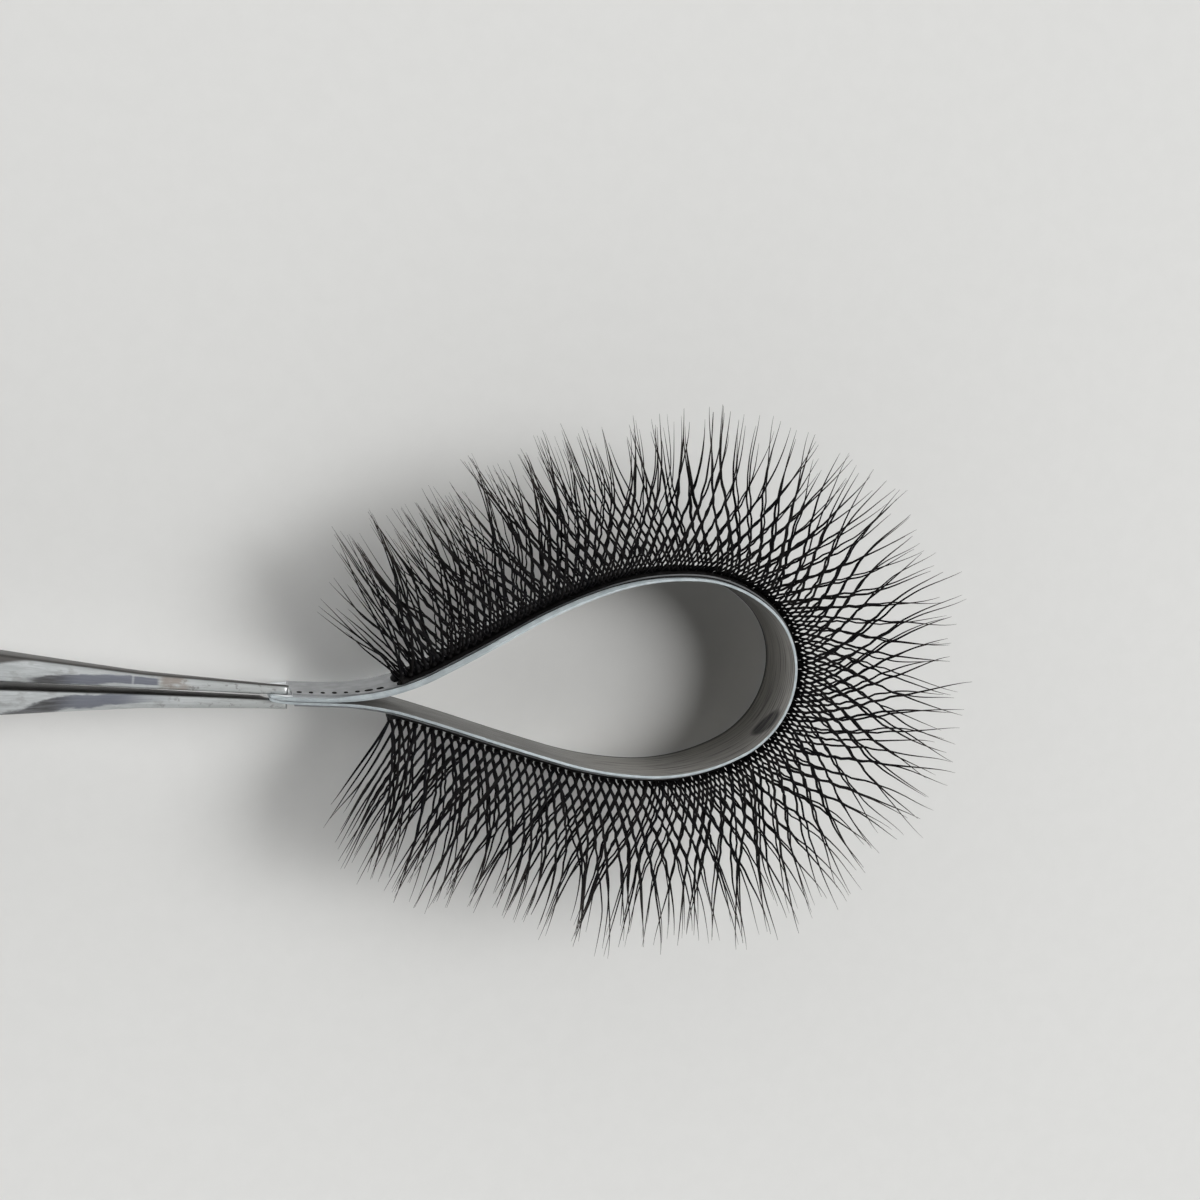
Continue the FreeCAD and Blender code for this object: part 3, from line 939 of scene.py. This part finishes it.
def lash_section(name, node, distances, seed):
    """One piece of the row: its glue beads, and the strands that each sends both ways."""
    dice = random.Random(seed)
    bundle = Bundle()
    for distance in distances:
        wide, deep, tall = (size * dice.uniform(0.85, 1.15) for size in bead_size)
        bead = np.array(glue_knob(distance, bead_offset, bead_height, wide, deep, tall))
        bundle.add(bead, knob_rings, knob_sides, 1, [0.0] * len(bead), 0.5)
        fan = fan_at(distance)
        twin = smooth_step(distance, belly_distance + 1.0, belly_distance - 2.0)
        slim = 1.0 if distance > belly_distance else 0.86 + 0.14 * min(fan / full_fan, 1.0)
        chosen = strands if distance < dense_end else strands[:2]
        for way, strand in itertools.product((-1, 1), chosen):
            thick, split_reach, ahead = strand
            line, reach_share = strand_line(distance, way, ahead * twin, dice)
            length = lash_length * reach_share * dice.uniform(0.86, 1.03)
            width = fibre_width * thick * dice.uniform(0.85, 1.15) * slim
            part = split_reach * dice.uniform(-1.0, 1.0) / (1.0 + 6.0 * fan) * split_ramp
            splay = dice.uniform(-0.02, 0.02) + dice.uniform(-0.16, 0.16) * tip_ramp
            wander = dice.uniform(0.0, 0.07) * np.sin(dice.uniform(0.0, 6.28) + 4.5 * out_share) * out_share
            lift = dice.uniform(-0.06, 0.06) + dice.uniform(-0.25, 0.25) * out_share
            tube = fibre(line + part + splay + wander, length, width, lift)
            tube_share = np.repeat(fibre_share, fibre_sides)
            bundle.add(tube, fibre_stations, fibre_sides, 0, tube_share, dice.random())
    marks = {"share": bundle.shares, "tint": bundle.tints}
    made = make_piece(name, np.concatenate(bundle.points), bundle.faces, [lash_black, root_glue],
                      marks, bundle.face_finish)
    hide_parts(node)
    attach(made, "lash_strip")
    return made


def lash_row(name, start, finish, sections, seed):
    """Shares a stretch of the row out evenly among its sections."""
    count = round((finish - start) / lash_pitch)
    spacing = (finish - start) / count
    for section in range(sections):
        chosen = range(section * count // sections, (section + 1) * count // sections)
        distances = [start + (index + 0.5) * spacing for index in chosen]
        number = section + 1
        lash_section(f"{name}_lashes_{number}", f"{name}_fans_{number}", distances, seed + section)


lash_row("upper_leg", row_start, crown_distance, 8, 100)
lash_row("round_end", crown_distance, belly_distance, 9, 200)
lash_row("lower_leg", belly_distance, row_end, 6, 300)

# %% [markdown]
# ## Tweezers
# Each half of the tweezers is one leaf of spring steel, cut to a long taper, ground along its edges and bent
# so that the tips meet. The CAD model splits a leaf at its hinge; here it is one unbroken mesh, curved
# between heel and arm. A sheet with a thickness modifier could give the blank, but rings along the leaf let
# its width, thickness and rounded edges change together.

# %% Outlines of a leaf
heel_end = -7.0
arm_root = 7.0
leaf_thickness = 0.95
handle_width = 7.5
taper_start = jaw_x - 60.0
bow_middle = jaw_x - 60.0
bow_half = 2.6
jaw_length = 14.0
jaw_half_gap = 0.14
heel_gap, slot_gap = 0.004, 0.12
tip_thickness = 0.38
tip_half = 0.25
tip_corner = 0.2
jaw_z = tape_width - 1.1
heel_corner = 2.0
low_slope, top_slope = math.radians(2.5), math.radians(1.0)


def sampled(*knots):
    """x and y of points along the smooth path through some knots."""
    path = smooth_path(knots)
    return np.array([path_at(path, d)[:2] for d in np.linspace(0.0, path_length(path), 400)])


low_edge = sampled((heel_end, 0.0, 0.0), (taper_start, 0.0, 0.0), (jaw_x, jaw_z - tip_half, low_slope))
high_edge = sampled((heel_end, handle_width, 0.0), (taper_start, handle_width, 0.0),
                    (jaw_x, jaw_z + tip_half, -top_slope))
bow = sampled((arm_root, 0.06, 0.0), (bow_middle, bow_half, 0.0), (jaw_x - jaw_length, 0.19, 0.0))
inner_face = np.concatenate([[(heel_end, heel_gap), (arm_root - 1.5, heel_gap)], bow,
                             [(jaw_x - 6.0, slot_gap), (jaw_x - 1.2, slot_gap), (jaw_x, jaw_half_gap)]])
thick_at = np.array([(heel_end, 1.01), (70.0, leaf_thickness), (90.0, 1.27), (jaw_x - 13.4, 1.25),
                     (jaw_x - 10.8, 1.03), (jaw_x - 9.5, 0.92), (jaw_x - 6.3, 0.66), (jaw_x, tip_thickness)])
slot_at = np.array([(60.0, 0.0), (90.0, 0.10), (jaw_x - 1.2, 0.09), (jaw_x - 0.9, 0.0)])
print("leaf outline points", len(inner_face))

# %% [markdown]
# ## Worn steel
# The flats are painted near black, a painted dark reflection. The ground edges are bright, with a painted
# dark reflection along the upper arm's outer corner, bluish streaks of burnish with painted dark reflections
# in them, a painted shadow along the outer side of the upper arm's edge, brown stains, and small pits
# towards the tips. An image wrapped round the leaf could show them, but would blur from near by. So marks on
# the mesh give each point its distance from the heel, its place across the edge and its side, and the
# streaks are drawn with those.

# %% Marks and noise of the steel
worn_steel = Finish("worn_steel")
steel_along = worn_steel.mark("along")
steel_across = worn_steel.mark("across")
steel_height = worn_steel.mark("height")
steel_rim = worn_steel.mark("rim")
upper_side = worn_steel.mark("upper_side")
scratch_spot = worn_steel.grid(steel_along * 0.8, steel_across * 14.0, steel_height * 9.0)
scratches = worn_steel.noise(scratch_spot, 1.0, 6.0, 0.65)
blotch_depth = steel_height * 0.8 + upper_side * 7.0
blotch_spot = worn_steel.grid(steel_along * 1.3, steel_across * 3.0, blotch_depth)
blotches = worn_steel.noise(blotch_spot, 1.0, 4.0, 0.6)
pit_spot = worn_steel.grid(steel_along * 3.2, steel_across * 2.2, upper_side * 5.0)
pits = worn_steel.noise(pit_spot, 1.0, 3.0, 0.6)
print("steel nodes so far", len(worn_steel.tree.nodes))


# %% Streaks, stains and painted shade, placed in millimetres from the heel's middle
def streak(middle, spread):
    """A long streak with a ragged edge, burnish with a painted dark reflection: 1 along its middle line, 0
    outside its spread.
    """
    aside = (steel_across - middle) * (1.0 / spread) + (blotches - 0.5) * 1.1
    return 1.0 - (aside * aside).between(0.45, 1.25)


upper_middle = 0.25 * steel_along.between(96.9, 98.7) + 0.26 * steel_along.between(98.4, 101.0)
upper_streak = streak(upper_middle, 0.27) * steel_along.within(96.6, 97.5, 102.3, 102.5)
cross_scratch = steel_along.within(101.26, 101.31, 101.36, 101.41)
upper_streak = upper_streak * (1.0 - 0.5 * cross_scratch)
lower_middle = 1.25 - 0.78 * steel_along.between(95.7, 98.9) - 0.32 * steel_along.between(98.6, 103.0)
lower_streak = streak(lower_middle, 0.34) * (1.0 - steel_along.between(100.4, 103.4))
# the streaks are burnish with painted dark reflections: near black nearer the heel, bluish grey further on
burnish_and_dark_reflection = upper_streak * upper_side + lower_streak * (1.0 - upper_side)
blue_zone = steel_along.between(97.8, 99.3)
# painted shadow: near black, with no metal shine, over the outer side of the upper arm's ground edge, ending
# about 10 mm from the tip
brown_start = 0.50 + 0.37 * steel_along.between(94.9, 97.5)
brown_reach = (1.0 - steel_along.between(97.5, 98.6)) * upper_side
shadow_brown = (steel_across - brown_start).between(0.0, 0.14) * brown_reach
tan_stain = steel_along.within(102.3, 102.7, 103.4, 103.9) * upper_side * blotches.between(0.30, 0.60)
pitted = pits.between(0.57, 0.66) * steel_along.between(101.0, 104.0)
# painted dark reflection along the upper arm's outer corner: the bright rim is narrowed so the near-black
# flat tone shows
outer_painted_dark_edge = steel_across.between(0.6, 0.8) * upper_side
on_rim = (steel_rim - 0.42 * outer_painted_dark_edge).between(0.08, 0.42)
print("steel nodes with streaks", len(worn_steel.tree.nodes))

# %% Tones of the steel
scratched = scratches.between(0.3, 0.7)
# tones of the streaks, burnish with painted dark reflection; where near black they also lose their metal
# shine
burnish_reflection_tone = worn_steel.mix(blue_zone, (0.016, 0.015, 0.014), (0.155, 0.165, 0.200))
burnish_reflection_tone = worn_steel.mix(scratches.between(0.35, 0.75) * 0.45, burnish_reflection_tone, (0.21, 0.215, 0.235))
bright = worn_steel.layers(
    worn_steel.mix(scratched, (0.41, 0.43, 0.435), (0.54, 0.56, 0.57)),
    (steel_along.between(103.0, 106.0) * 0.7, (0.40, 0.415, 0.41)),
    (blotches.between(0.50, 0.68) * 0.5, (0.25, 0.245, 0.245)),
    (pitted * 0.45, (0.14, 0.125, 0.12)),
    (burnish_and_dark_reflection * 0.94, burnish_reflection_tone),
    (shadow_brown * 0.95, (0.035, 0.030, 0.026)),
    (tan_stain * 0.8, (0.29, 0.255, 0.225)))
# painted dark reflection: the flats are painted near black and have no metal shine
flat_painted_dark_reflection = worn_steel.mix(scratched, (0.010, 0.009, 0.008), (0.026, 0.023, 0.020))
dark_burnish_and_reflection = burnish_and_dark_reflection * (1.0 - blue_zone) * (1.0 - shadow_brown)
bare_metal = 1.0 - shadow_brown - 0.8 * dark_burnish_and_reflection
worn_steel.feed(base_color=worn_steel.mix(on_rim, flat_painted_dark_reflection, bright),
                metallic=on_rim * bare_metal,
                roughness=0.24 + 0.2 * scratches + 0.1 * blotches,
                normal=worn_steel.bump(scratches + blotches, 0.00002, 0.35))
print("steel finish", worn_steel.material.name)

# %% Cross-section of a leaf
corner_steps = 5


def leaf_ring(x, way):
    """The rounded cross-section of a leaf at x, as points and marks."""
    trim = corner_trim(x - heel_end, heel_corner) + corner_trim(jaw_x - x, tip_corner)
    low = np.interp(x, low_edge[:, 0], low_edge[:, 1]) + trim
    high = np.interp(x, high_edge[:, 0], high_edge[:, 1]) - trim
    inner = np.interp(x, inner_face[:, 0], inner_face[:, 1])
    thick = np.interp(x, thick_at[:, 0], thick_at[:, 1])
    outer = inner + thick
    slot = np.interp(x, slot_at[:, 0], slot_at[:, 1])
    big, small = min(0.42 * thick, 0.3), min(0.2 * thick, 0.12)
    corners = ((outer, high, big, 0), (inner, high, small, 90),
               (inner, low, small, 180), (outer, low, big, 270))
    ring = []
    for corner_y, corner_z, radius, start in corners:
        middle_y = corner_y - radius if corner_y == outer else corner_y + radius
        middle_z = corner_z - radius if corner_z == high else corner_z + radius
        closer = slot if corner_y == inner and corner_z == low else 0.0
        for step in range(corner_steps):
            turn = math.radians(start + 90 * step / (corner_steps - 1))
            y = middle_y + radius * math.cos(turn) - closer
            ring.append((y, middle_z + radius * math.sin(turn), math.sin(turn)))
    points = [(x, way * y, z) for y, z, _ in ring]
    marks = {"along": [x] * len(ring), "across": [(y - inner) / thick for y, _, _ in ring],
             "height": [z for _, z, _ in ring], "rim": [rim for _, _, rim in ring],
             "upper_side": [max(way, 0)] * len(ring)}
    return points, marks


print("leaf ring points", len(leaf_ring(arm_root, 1)[0]))

# %% Skin both leaves
fine_from = 90.0
heel_stations = heel_end + heel_corner * (1 - np.cos(np.linspace(0.02, math.pi / 2, 10)))
tip_stations = jaw_x - tip_corner * (1 - np.cos(np.linspace(math.pi / 2, 0.05, 7)))
leaf_stations = np.concatenate([heel_stations, np.arange(-4.6, fine_from, 0.6),
                                np.arange(fine_from, jaw_x - 0.35, 0.2), tip_stations])


def make_leaf(name, way):
    points, marks = [], {}
    for x in leaf_stations:
        ring, ring_marks = leaf_ring(x, way)
        points += ring
        for key, values in ring_marks.items():
            marks.setdefault(key, []).extend(values)
    faces = skin(len(leaf_stations), 4 * corner_steps)
    if way < 0:
        faces = [face[::-1] for face in faces]
    leaf = make_piece(name, points, faces, [worn_steel], marks, None, 50.0)
    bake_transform(leaf)
    return leaf


upper_leaf = make_leaf("upper_leaf", 1)
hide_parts("upper_arm", "heel_upper_tang")
lower_leaf = make_leaf("lower_leaf", -1)
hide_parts("lower_arm", "heel_lower_tang")
